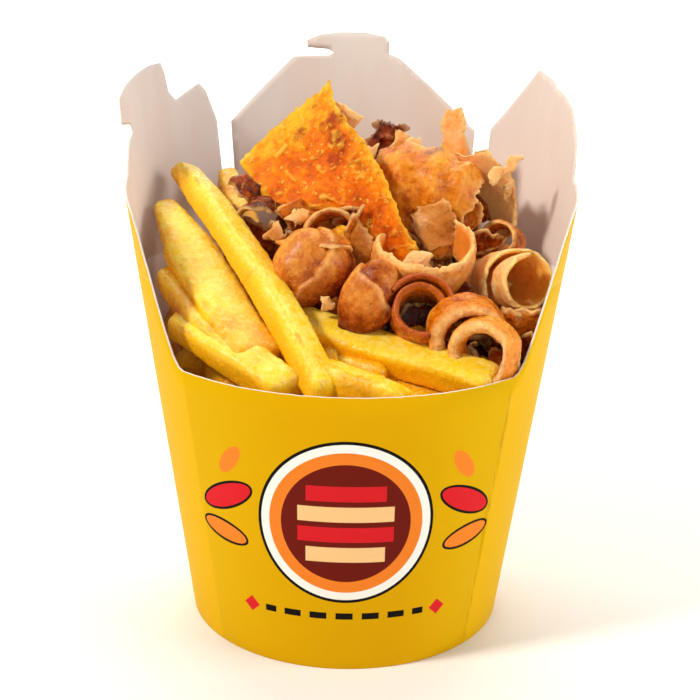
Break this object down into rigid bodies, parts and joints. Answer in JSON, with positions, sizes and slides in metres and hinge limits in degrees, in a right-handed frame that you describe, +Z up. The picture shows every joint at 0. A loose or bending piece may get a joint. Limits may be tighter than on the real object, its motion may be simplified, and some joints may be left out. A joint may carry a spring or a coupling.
{
  "type": "kebab box",
  "caption": "Round-footed paperboard takeaway box with a cut-down front and open lid flaps, heaped with fries and shaved, rolled kebab meat.",
  "frame": {"origin": "middle of the part's bounds, on the surface it stands on; the box's own upright axis is 5.7 mm in front of it", "axes": "+Z up, -Y towards the cut-down front, +X to the right as seen from the front"},
  "size_m": [0.1212, 0.1169, 0.1587],
  "materials": {
    "board": "printed and coated, bare inside",
    "potato": "fried, lightly oiled",
    "meat": "roasted, moist"
  },
  "bodies": {
    "box": {"wall": "board", "floor_disc": "board", "fry_long": "potato", "fry_left": "potato", "fry_right": "potato", "fry_low_left": "potato", "fry_mid_left": "potato", "fry_low_middle": "potato", "fry_back": "potato", "fries_heap": "potato", "crisp_slice": "meat", "roll_dark": "meat", "roll_pale": "meat", "cup_slice": "meat", "folded_slice": "meat", "arch_back": "meat", "arch_front": "meat", "tall_ribbon": "meat", "curved_ribbon": "meat", "pale_flake": "meat", "dark_crust": "meat", "under_ribbon": "meat", "toothed_flake": "meat", "small_curl": "meat", "side_flake": "meat", "left_flake": "meat", "meat_ball": "meat", "meat_fold": "meat", "meat_heap": "meat"},
    "back_lid": {"back_flap": "board"},
    "left_lid": {"left_flap": "board"},
    "right_lid": {"right_flap": "board"}
  },
  "joints": [
    {"name": "back_fold", "type": "hinge", "parent": "box", "child": "back_lid", "pos_m": [0, 0.05035, 0.098], "axis": [-1, 0, 0], "range_deg": [0, 60]},
    {"name": "left_fold", "type": "hinge", "parent": "box", "child": "left_lid", "pos_m": [-0.05596, -0.00252, 0.098], "axis": [-0.0567, -0.9984, 0], "range_deg": [0, 60]},
    {"name": "right_fold", "type": "hinge", "parent": "box", "child": "right_lid", "pos_m": [0.05596, -0.00252, 0.098], "axis": [-0.0567, 0.9984, 0], "range_deg": [0, 60]}
  ]
}
